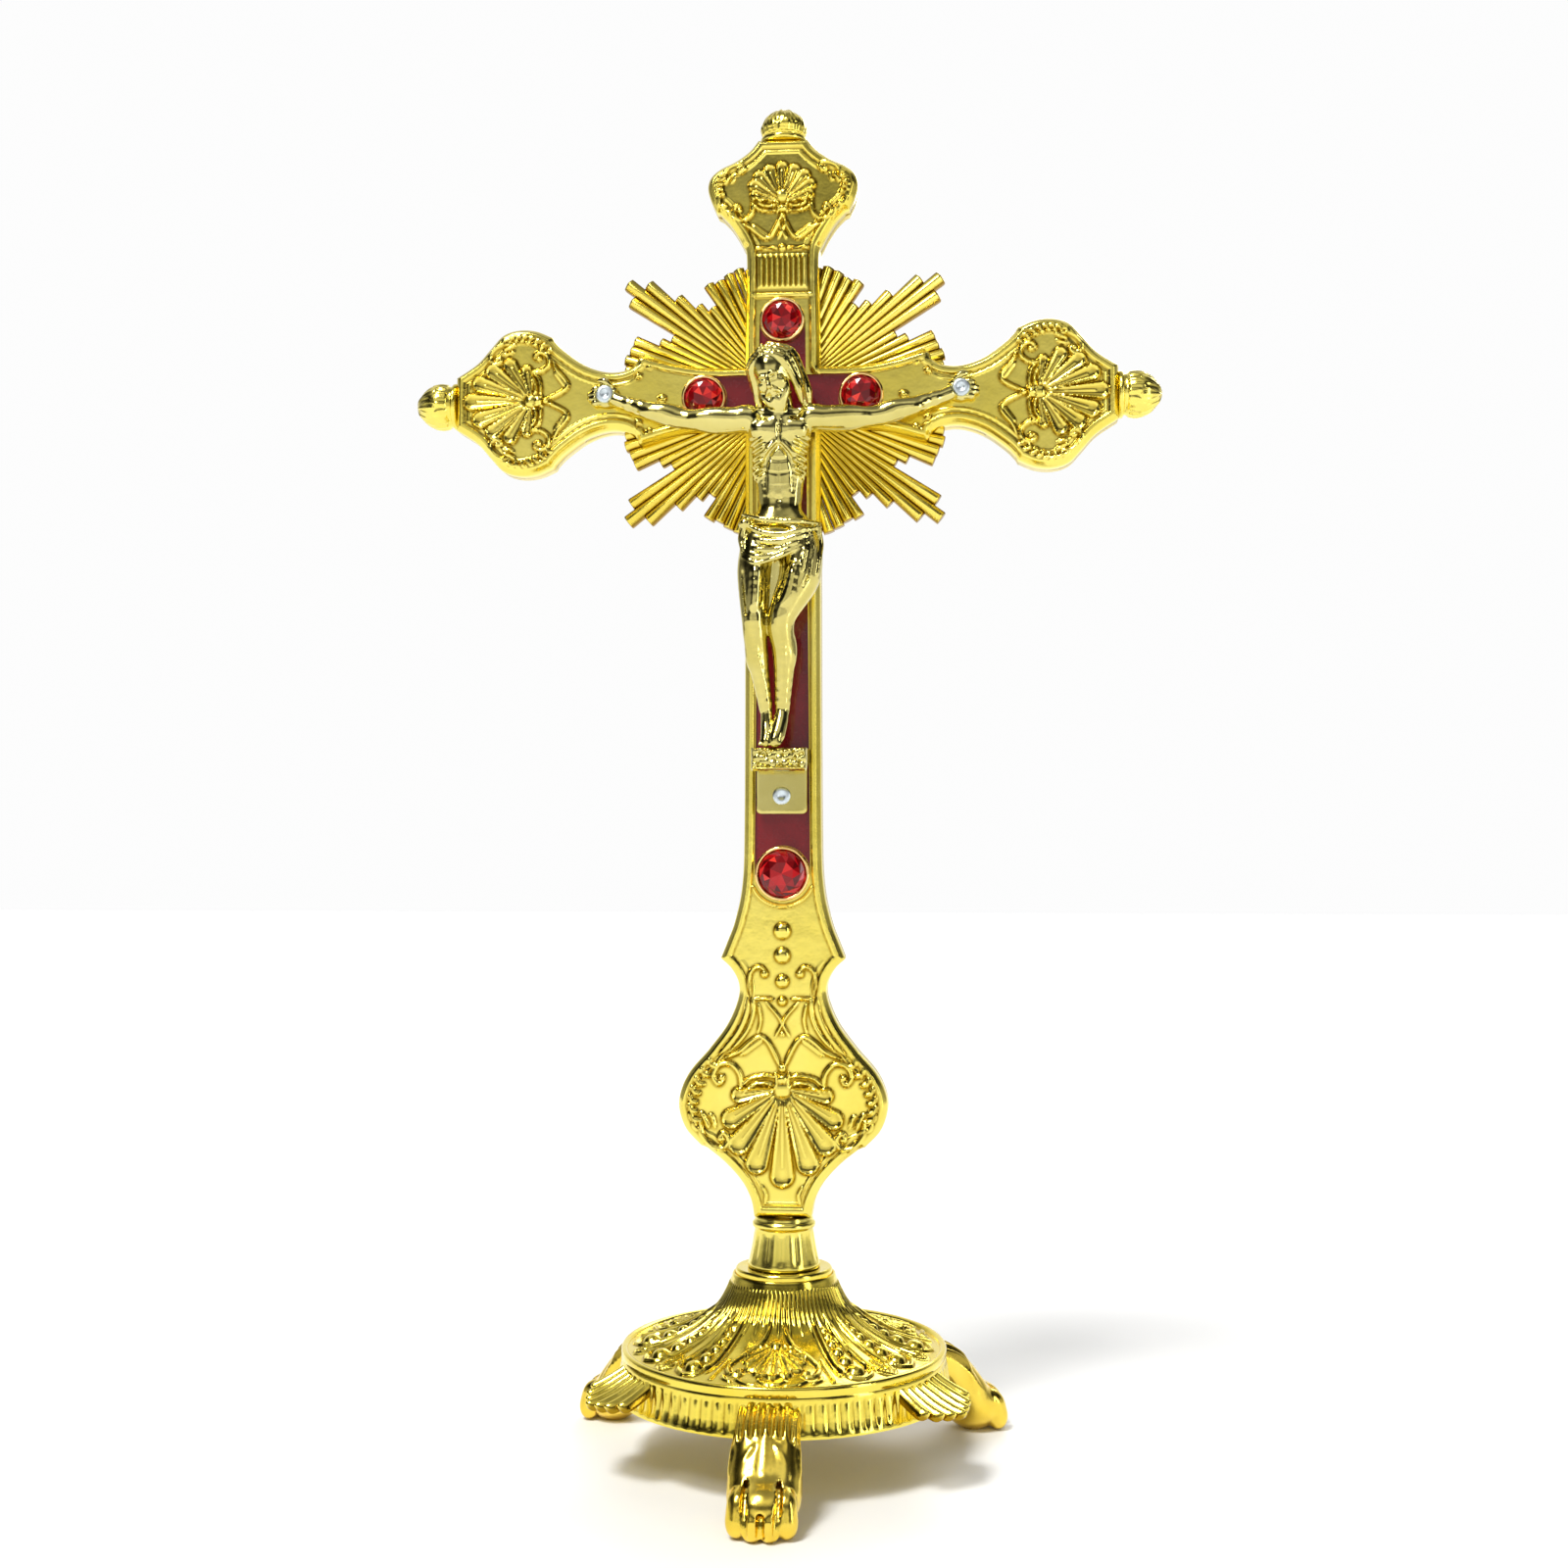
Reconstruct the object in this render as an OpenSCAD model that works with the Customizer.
// Standing altar cross that lifts off a three-footed base.
// Millimetres. +Z is up, the cross faces -Y, its arms lie along X.
// The origin is on the stud's axis, on the plane the feet stand on.

/* [Cross] */
// Height from the ferrule's foot to the tip of the top finial
cross_h = 325; // [320:1:330]
// Width from side finial tip to side finial tip
cross_w = 211; // [208:1:214]
// Height of the crossing above the ferrule's foot
crossing_h = 242; // [240:1:244]
// Half width of the plain stem
stem_hw = 10.6; // [10.2:0.2:11]
// Half width of the arms beside the crossing
arm_hw = 8.8; // [8.6:0.2:9.2]
// Thickness of the front and back castings together
cross_t = 11; // [11:0.5:12]
// Wall left around the hollow of each casting
wall = 2.2; // [1.8:0.2:2.4]

/* [Enamel and stones] */
// Half width of the enamel channel at the top stone
channel_hw_top = 6.4; // [6:0.1:6.6]
// Half width of the enamel channel at the lower stone
channel_hw_low = 7.7; // [7.2:0.1:7.9]
// Half height of the enamel channel across the arms
channel_hw_side = 6.1; // [5.6:0.1:6.3]
// Depth of the enamel channel
channel_d = 1.8; // [1.4:0.1:2]
// Thickness of the enamel in its channel
enamel_t = 0.9; // [0.6:0.1:1]
// Outer diameter of the three upper bezels
bezel_od = 12.6; // [12:0.2:13]
// Outer diameter of the lower bezel
low_bezel_od = 15.3; // [14.9:0.2:15.9]

/* [Corpus] */
// Distance from the stem's centre line to each hand rivet
hand_x = 49.6; // [49:0.2:50.4]
// Diameter of a rivet's shank
rivet_d = 2.5; // [2:0.1:2.8]
// Diameter of a rivet's head
rivet_head_d = 5; // [4.6:0.1:5.4]

/* [Base] */
// Height of the collar's top face, on which the ferrule stands
base_h = 52; // [50:1:54]
// Radius of the dome's rim
rim_r = 45; // [44:0.5:46]
// Reach of each foot from the axis
foot_r = 70; // [68:1:72]
// Reach of each fan apron from the axis
apron_r = 56; // [54:1:57]

/* [Fastening] */
// Nominal diameter of the threaded stud
stud_d = 8; // [8:0.1:8.1]
// Length of the stud below the ferrule
stud_out = 17; // [16.5:0.5:18]
// Bore of the collar
collar_bore_d = 14; // [12:0.5:15]

/* [Hidden] */
$fn = 64;

half_t = cross_t / 2;
crossing_z = base_h + crossing_h;
fit = 0.05;
eps = 0.01;

// Heights measured from the crossing, up positive
top_end = cross_h - crossing_h - 10;
side_end = cross_w / 2 - 12.5;
tail_end = 14 - crossing_h;
finial_l = 10;
side_finial_l = 12.5;
top_stone_z = 21.5;
side_stone_x = 22;
low_stone_z = -133;
foot_rivet_z = -111.5;
hand_z = 1;
hand_rivet_out = 2.7;
footrest_z = -99;

// Levels along Y, front negative
face_y = -half_t;
channel_y = face_y + channel_d;
enamel_y = channel_y - enamel_t;
bevel_y = -half_t + 2.6;
bevel_in = 1.2;
web_r = 26;
web_t = 1.6;
ray_t = 5;
boss_r = 3.6;
pocket_front = 1.9;
pocket_back = 3.3;

// Catmull-Rom curve through hand-placed points
function cr(a, b, c, d, t) =
    0.5 * (2 * b + (c - a) * t + (2 * a - 5 * b + 4 * c - d) * t * t
    + (3 * b - a - 3 * c + d) * t * t * t);
function smooth(p, n = 4) = [
    for (i = [0:len(p) - 2], k = [0:n - 1])
        cr(p[max(i - 1, 0)], p[i], p[i + 1], p[min(i + 2, len(p) - 1)], k / n),
    p[len(p) - 1]
];

// Half outlines as [distance from the crossing, half width]
lower_flank = [
    [0, stem_hw], [60, stem_hw], [119, stem_hw + 0.2], [136, stem_hw + 0.8],
    [146, 13.4], [152, 15.6], [156, 17.2]
];
lower_waist = [[156.6, 17.4], [159.5, 14.4], [163.5, 12.4], [168, 12.6], [175, 15.6], [182, 20.8]];
lower_bulge = [[182, 20.8], [188, 26], [193.5, 28.6], [198.5, 29], [204, 27], [208.5, 22.8]];
lower_tail = [[209, 21.2], [213, 16.2], [218, 11.6], [223, 9], [-tail_end, 8]];
top_flank = [[0, stem_hw], [20, stem_hw], [39, 10.2], [43.5, 11.4], [49, 14.6], [52.5, 17.8]];
top_bulge = [[52.6, 18.6], [56.5, 20.4], [60, 21.2], [63, 20.2], [65.3, 17.4], [67.3, 13.2], [70, 9.4],
             [top_end, 6.9]];
side_flank = [[0, arm_hw], [20, arm_hw], [31, 10.4], [39, 12.6], [41, 12.2]];
side_neck = [[41.4, 10.4], [45, 8.6], [50, 8.4], [56, 10.4], [62, 14.6], [65, 17.6]];
side_bulge = [[65.2, 18.4], [70, 20.4], [75, 20.8], [79.5, 19.4], [83, 15.8], [87, 11.4], [side_end, 7.4]];

function lower_half(n) = concat(smooth(lower_flank, n), smooth(lower_waist, n),
    smooth(lower_bulge, n), smooth(lower_tail, n));
function top_half(n) = concat(smooth(top_flank, n), smooth(top_bulge, n));
function side_half(n) = concat(smooth(side_flank, n), smooth(side_neck, n), smooth(side_bulge, n));

// Both sides of one arm as [across, along], out on its right and back on its left,
// inset from its edge and cut between two distances
function arm_points(half, inset, from, to) =
    let (kept = [for (p = half) if (p[0] > from && p[0] <= to) [max(p[1] - inset, 0.5), p[0]]])
    let (start = [half[0][1] - inset, from])
    let (side = concat([start], kept))
    concat(side, [for (i = [len(side) - 1:-1:0]) [-side[i][0], side[i][1]]]);

function turned(points, a) = [for (p = points) [p[0] * cos(a) - p[1] * sin(a), p[0] * sin(a) + p[1] * cos(a)]];

// The whole outline as one loop, arm by arm
function outline_points(inset, n) = concat(
    turned(arm_points(side_half(n), inset, stem_hw - inset, side_end - inset), -90),
    turned(arm_points(top_half(n), inset, arm_hw - inset, top_end - inset), 0),
    turned(arm_points(side_half(n), inset, stem_hw - inset, side_end - inset), 90),
    turned(arm_points(lower_half(n), inset, arm_hw - inset, -tail_end - inset), 180)
);

module cross_outline(inset = 0) {
    polygon(outline_points(inset, 2));
}

module arm_pockets() {
    polygon(turned(arm_points(lower_half(1), wall, 30, 203), 180));
    polygon(arm_points(top_half(1), wall, 30, 66));
    polygon(turned(arm_points(side_half(1), wall, 30, 84), 90));
    polygon(turned(arm_points(side_half(1), wall, 30, 84), -90));
}

// Stands a sketch up: sketch x to X, sketch y to Z, from one Y level to a later one
module upright(y0, y1) {
    translate([0, y1, crossing_z]) rotate([90, 0, 0]) linear_extrude(y1 - y0) children();
}

module y_pin(x, z, d, y0, y1, fn = 48) {
    translate([x, y1, crossing_z + z]) rotate([90, 0, 0]) cylinder(d = d, h = y1 - y0, $fn = fn);
}

rivet_places = [[-hand_x, hand_z], [hand_x, hand_z], [0, foot_rivet_z]];

module at_rivets() {
    for (p = rivet_places) translate(p) children();
}

module rivet_holes(y0, y1) {
    for (p = rivet_places) y_pin(p[0], p[1], rivet_d + 2 * fit, y0, y1);
}

module stone_seats(grow = 0) {
    translate([0, top_stone_z]) circle(d = bezel_od + grow);
    for (s = [-1, 1]) translate([s * side_stone_x, 0]) circle(d = bezel_od + grow);
    translate([0, low_stone_z]) circle(d = low_bezel_od + grow);
}

// The enamel's channel: a slowly widening upright bar and a level bar, ending under the stones
function channel_hw(z) = channel_hw_top
    + (channel_hw_low - channel_hw_top) * (top_stone_z - z) / (top_stone_z - low_stone_z);

module channel() {
    side = channel_hw_side;
    right = [
        [channel_hw_top, top_stone_z], [channel_hw(side), side], [side_stone_x, side],
        [side_stone_x, -side], [channel_hw(-side), -side], [channel_hw_low, low_stone_z]
    ];
    polygon(concat(right, [for (i = [len(right) - 1:-1:0]) [-right[i][0], right[i][1]]]));
}

module stud_boss() {
    translate([-7.5, tail_end]) square([15, 34]);
}

module finial_sockets() {
    translate([0, 0, crossing_z + top_end - 7]) cylinder(d = 3.1, h = 8, $fn = 32);
    for (s = [-1, 1]) translate([s * (side_end - 7), 0, crossing_z]) rotate([0, s * 90, 0])
        cylinder(d = 3.1, h = 8, $fn = 32);
}

module stud_socket() {
    translate([0, 0, base_h]) cylinder(d = stud_d + 2 * fit, h = 40);
}

module cross_front() {
    color("gold") difference() {
        union() {
            upright(bevel_y, 0) cross_outline();
            upright(face_y, bevel_y) cross_outline(bevel_in);
        }
        upright(-pocket_front, 1) difference() {
            arm_pockets();
            at_rivets() circle(boss_r);
            stud_boss();
        }
        upright(-web_t / 2 - fit, 1) circle(web_r + fit);
        upright(face_y - 1, channel_y) union() {
            channel();
            stone_seats(2 * fit);
        }
        rivet_holes(face_y - 1, 1);
        finial_sockets();
        stud_socket();
    }
}

module cross_back() {
    color("goldenrod") difference() {
        upright(0, half_t) cross_outline();
        upright(-1, pocket_back) difference() {
            arm_pockets();
            at_rivets() circle(boss_r);
            stud_boss();
        }
        upright(-1, web_t / 2 + fit) circle(web_r + fit);
        rivet_holes(-1, half_t + 1);
        finial_sockets();
        stud_socket();
    }
}

// One quadrant of rays: a short bundle beside each arm and a long one between them
ray_quadrant = [
    [4, 4], [4, 37.5], [14.5, 37.5], [17.4, 34], [21.6, 35], [19.8, 24],
    [28.2, 30.6], [30, 29.8], [36, 35], [38.6, 33.6], [46, 39], [43, 30.4],
    [43.4, 28.4], [37.2, 23], [27.2, 14.6], [38, 18.4], [43, 17.6], [43.6, 14.2],
    [45, 12.6], [45, 4]
];

module sunburst() {
    color("gold") {
        upright(-web_t / 2, web_t / 2) circle(web_r);
        upright(-ray_t / 2, ray_t / 2) difference() {
            for (sx = [-1, 1], sz = [-1, 1]) scale_mirror(sx, sz) polygon(ray_quadrant);
            cross_outline(-fit);
        }
    }
}

module scale_mirror(sx, sz) {
    mirror([sx < 0 ? 1 : 0, 0]) mirror([0, sz < 0 ? 1 : 0]) children();
}

module enamel_inlay() {
    color("darkred") upright(enamel_y, channel_y) difference() {
        channel();
        stone_seats(4 * fit);
        translate([0, foot_rivet_z]) circle(d = rivet_d + 2 * fit);
    }
}

// Bezels and stones stand in round seats at the ends of the channel
module bezel(x, z, od) {
    color("goldenrod") difference() {
        y_pin(x, z, od, face_y - 1.6, channel_y, 64);
        y_pin(x, z, od - 1.6, face_y - 2, channel_y + 1, 64);
    }
}

module stone(x, z, d) {
    table_d = d * 0.55;
    color("red") translate([x, 0, crossing_z + z]) rotate([90, 0, 0]) {
        translate([0, 0, -channel_y]) cylinder(d = d, h = channel_d + 0.8, $fn = 48);
        translate([0, 0, -face_y + 0.8]) cylinder(d1 = d, d2 = table_d, h = 2.6, $fn = 48);
    }
}

module bezel_top() { bezel(0, top_stone_z, bezel_od); }
module bezel_left() { bezel(-side_stone_x, 0, bezel_od); }
module bezel_right() { bezel(side_stone_x, 0, bezel_od); }
module bezel_lower() { bezel(0, low_stone_z, low_bezel_od); }
module stone_top() { stone(0, top_stone_z, bezel_od - 1.8); }
module stone_left() { stone(-side_stone_x, 0, bezel_od - 1.8); }
module stone_right() { stone(side_stone_x, 0, bezel_od - 1.8); }
module stone_lower() { stone(0, low_stone_z, low_bezel_od - 1.8); }

// Figure: [x, depth, z] joints of the body, z from the crossing
shoulder = [8.6, -15, -8];
elbow = [29, -13, -7.6];
wrist = [45.5, -9.4, -0.8];
hip_z = -39;
knee = [-2.9, -17.2, -64];
ankle = [-1.2, -13.5, -90];

module blob(p, r) {
    translate(p) sphere(r, $fn = 24);
}

module limb(a, b, ra, rb) {
    hull() {
        blob(a, ra);
        blob(b, rb);
    }
}

// A part of the body between two left-right pairs of joints: [half width, depth, z, radius] each
module trunk(a, b) {
    hull() for (s = [-1, 1], j = [a, b]) blob([j[4] + s * j[0], j[1], j[2]], j[3]);
}

module corpus() {
    chest = [shoulder[0], shoulder[1], shoulder[2], 3.6, 0];
    waist = [4.6, -13.6, -26, 4.3, 0];
    hips = [6.2, -13.4, hip_z, 5, 0];
    thighs = [6.1, -14.4, -50, 5, 0];
    knees = [3.9, knee[1], knee[2], 3.5, knee[0]];
    ankles = [2.2, ankle[1], ankle[2], 2, ankle[0]];
    color("palegoldenrod") translate([0, 0, crossing_z]) difference() {
        union() {
            trunk(chest, waist);
            trunk(waist, hips);
            trunk(hips, thighs);
            trunk(thighs, knees);
            trunk(knees, ankles);
            limb([ankle[0], ankle[1] + 0.4, ankle[2]], [ankle[0], ankle[1] - 1.5, ankle[2] - 5.6], 2.6, 2.6);
            limb([-1, -16.6, 4.6], [-0.8, -17, -1], 6.8, 6.4);
            limb([0, -14.4, -8], [-0.6, -15.2, 0], 3.4, 3);
            for (s = [-1, 1]) {
                limb([s * shoulder[0], shoulder[1], shoulder[2]], [s * elbow[0], elbow[1], elbow[2]], 3.2, 2.4);
                limb([s * elbow[0], elbow[1], elbow[2]], [s * wrist[0], wrist[1], wrist[2]], 2.4, 1.7);
                limb([s * wrist[0], wrist[1], wrist[2]], [s * (hand_x - 1), -7.3, hand_z - 0.2], 1.7, 1.1);
                translate([s * hand_x, face_y - 0.3, hand_z]) rotate([90, 0, 0])
                    cylinder(d = 8.4, h = 2.4, $fn = 40);
            }
        }
        for (s = [-1, 1]) translate([s * hand_x, 0, hand_z]) rotate([90, 0, 0]) {
            cylinder(d = rivet_d + 2 * fit, h = 40, $fn = 48);
            translate([0, 0, hand_rivet_out - face_y]) cylinder(d = rivet_head_d + 2 * fit, h = 6, $fn = 48);
        }
    }
}

module footrest() {
    tab_w = 14;
    color("gold") translate([0, 0, crossing_z]) difference() {
        union() {
            translate([-7.5, face_y - 13, footrest_z - 6]) cube([15, 13 - 0.6, 6.4]);
            translate([-tab_w / 2, face_y - 2, foot_rivet_z - 5]) cube([tab_w, 1.4, 18]);
        }
        translate([0, 0, foot_rivet_z]) rotate([90, 0, 0]) cylinder(d = rivet_d + 2 * fit, h = 40, $fn = 48);
    }
}

module rivet(x, z, front_y) {
    color("lightsteelblue") {
        y_pin(x, z, rivet_d, front_y, half_t);
        y_pin(x, z, rivet_head_d, front_y - 0.9, front_y);
        y_pin(x, z, rivet_head_d - 0.6, half_t, half_t + 0.9);
    }
}

module rivet_left_hand() { rivet(-hand_x, hand_z, face_y - hand_rivet_out); }
module rivet_right_hand() { rivet(hand_x, hand_z, face_y - hand_rivet_out); }
module rivet_feet() { rivet(0, foot_rivet_z, face_y - 2); }

// A bud on a collar, along +Z from its seat
module finial(length) {
    bud = [
        [0, 0], [6.6, 0], [6.6, 1.4], [5.6, 2], [6.2, 3.4], [6.3, 0.45 * length],
        [5.2, 0.68 * length], [3, 0.88 * length], [1.2, 0.97 * length], [0, length]
    ];
    rotate_extrude() polygon(bud);
    translate([0, 0, -6]) cylinder(d = 3, h = 6 + eps, $fn = 32);
}

module finial_top() {
    color("gold") translate([0, 0, crossing_z + top_end]) finial(finial_l);
}

module finial_left() {
    color("gold") translate([-side_end, 0, crossing_z]) rotate([0, -90, 0]) finial(side_finial_l);
}

module finial_right() {
    color("gold") translate([side_end, 0, crossing_z]) rotate([0, 90, 0]) finial(side_finial_l);
}

module ferrule() {
    bell = smooth([[10, 1.4], [9.3, 4], [8.6, 7.5], [8.3, 11], [8.4, 13.4]]);
    color("gold") translate([0, 0, base_h]) rotate_extrude() polygon(concat(
        [[stud_d / 2 + fit, 0], [9.6, 0], [10, 0.4]], bell, [[8.1, 14], [stud_d / 2 + fit, 14]]
    ));
}

module threaded_stud() {
    chamfer = 0.8;
    color("gold") translate([0, 0, base_h - stud_out]) {
        cylinder(d1 = stud_d - 2 * chamfer, d2 = stud_d, h = chamfer);
        translate([0, 0, chamfer]) cylinder(d = stud_d, h = stud_out + 36 - chamfer);
    }
}

// Base: collar, concave dome, skirt with three fan aprons, three paw feet
collar_h = 6;
collar_r = 13.5;
rim_z = 30;
skirt_top = rim_z - 1.8;
leg_w = 16;
leg_under = 20;
screw_r = 38;
screw_d = 4;
screw_head_d = 7.6;
foot_angles = [-90, 30, 150];

function dome_curve() = smooth([
    [collar_r + 1, base_h - 2.6], [15.8, 45.6], [19, 40.6], [25, 36], [32, 32.8], [39, 31], [rim_r - 2.4, rim_z]
], 3);

module base_collar() {
    color("gold") translate([0, 0, base_h - collar_h]) difference() {
        union() {
            cylinder(r = collar_r - fit, h = collar_h - 0.4);
            translate([0, 0, collar_h - 0.4]) cylinder(r1 = collar_r - fit, r2 = collar_r - 0.45, h = 0.4);
        }
        translate([0, 0, -1]) cylinder(d = collar_bore_d, h = collar_h + 2);
    }
}

module base_dome() {
    outer = dome_curve();
    skin = 1.6;
    color("gold") rotate_extrude($fn = 96) polygon(concat(
        [[collar_r, base_h - 1.6], [collar_r + 0.6, base_h - 1.6]], outer,
        [[rim_r - 1.8, rim_z + 0.9], [rim_r - 0.5, rim_z + 0.9], [rim_r, rim_z + 0.3], [rim_r, skirt_top]],
        [for (i = [len(outer) - 1:-1:0]) [max(outer[i][0] - 0.5, collar_r), max(outer[i][1] - skin - 0.2, skirt_top)]]
    ));
}

module skirt_wall() {
    rotate_extrude($fn = 96) polygon([
        [33, 24.4], [42.2, 24.4], [43.4, 18], [45.4, 18], [46.6, 17.8], [45.2, 24], [44.6, skirt_top],
        [42.4, skirt_top], [42.2, 26.6], [33, 26.6]
    ]);
}

// A fan apron flares down and outward between two feet
module apron() {
    slope = 32;
    translate([43.6, 0, 26.2]) rotate([0, slope, 0]) linear_extrude(2.6)
        polygon([
            [0, -10.6], [5, -12], [9.4, -11.4], [12.6, -6.4], [15.6, 0],
            [12.6, 6.4], [9.4, 11.4], [5, 12], [0, 10.6]
        ]);
}

module base_skirt() {
    color("gold") difference() {
        union() {
            skirt_wall();
            for (a = foot_angles) rotate(a + 180) apron();
        }
        for (a = foot_angles) rotate(a) {
            translate([41, -leg_w / 2 - 0.2, 10]) cube([12, leg_w + 0.4, 14.4]);
            translate([42.3, -leg_w / 2 - 0.2, 10]) cube([12, leg_w + 0.4, 17]);
            translate([screw_r, 0, 20]) cylinder(d = screw_d + 2 * fit, h = 10, $fn = 48);
        }
    }
}

// Side view of a leg: [distance from the axis, height]
leg_side = [
    [33.5, 24.3], [42.4, 24.3], [42.4, 26.8], [47, 26.8], [51, 25.4], [55, 22],
    [58, 17.4], [61, 14.6], [65, 14.4], [68.4, 11.6], [foot_r, 7], [foot_r, 3.4], [68.6, 0],
    [57, 0], [54.6, 4], [50.4, 12], [45, 17.6], [40, leg_under], [33.5, leg_under]
];

module paw_foot(angle) {
    toe_r = 9.2;
    toe_z = 6.6;
    color("gold") rotate(angle) difference() {
        union() {
            rotate([90, 0, 0]) translate([0, 0, -leg_w / 2]) linear_extrude(leg_w) polygon(leg_side);
            intersection() {
                translate([foot_r - toe_r, 0, toe_z]) sphere(toe_r, $fn = 48);
                translate([40, -20, 0]) cube([40, 40, 30]);
            }
        }
        translate([screw_r, 0, 15]) cylinder(d = screw_d + 2 * fit, h = 12, $fn = 48);
        translate([screw_r, 0, 10]) cylinder(d = screw_head_d + 2 * fit, h = leg_under - 10, $fn = 48);
    }
}

module foot_front() { paw_foot(foot_angles[0]); }
module foot_right() { paw_foot(foot_angles[1]); }
module foot_left() { paw_foot(foot_angles[2]); }

module foot_screws() {
    head_h = 2.4;
    color("silver") for (a = foot_angles) rotate(a) translate([screw_r, 0, leg_under]) {
        translate([0, 0, -head_h]) cylinder(d = screw_head_d, h = head_h, $fn = 48);
        translate([0, 0, -eps]) cylinder(d = screw_d, h = 6.4, $fn = 48);
    }
}

// Washers and nut under the collar
washer_t = 1.6;
lock_t = 2;
nut_h = 6.5;
nut_af = 13;
collar_under = base_h - collar_h;

module ring(z_top, t, od, id) {
    translate([0, 0, z_top - t]) difference() {
        cylinder(d = od, h = t);
        translate([0, 0, -1]) cylinder(d = id, h = t + 2);
    }
}

module flat_washer() {
    color("silver") ring(collar_under, washer_t, 24, 8.4);
}

module lock_washer() {
    split_w = 1;
    color("silver") difference() {
        ring(collar_under - washer_t, lock_t, 14.2, 8.4);
        translate([3, -split_w / 2, collar_under - washer_t - lock_t - 1]) cube([6, split_w, lock_t + 2]);
    }
}

module nut() {
    corner_d = nut_af / cos(30);
    top_z = collar_under - washer_t - lock_t;
    color("goldenrod") translate([0, 0, top_z - nut_h]) difference() {
        cylinder(d = corner_d, h = nut_h, $fn = 6);
        translate([0, 0, -1]) cylinder(d = stud_d + 2 * fit, h = nut_h + 2);
    }
}

cross_front();
cross_back();
sunburst();
enamel_inlay();
bezel_top();
bezel_left();
bezel_right();
bezel_lower();
stone_top();
stone_left();
stone_right();
stone_lower();
corpus();
footrest();
rivet_left_hand();
rivet_right_hand();
rivet_feet();
finial_top();
finial_left();
finial_right();
ferrule();
threaded_stud();
base_collar();
base_dome();
base_skirt();
foot_front();
foot_right();
foot_left();
foot_screws();
flat_washer();
lock_washer();
nut();
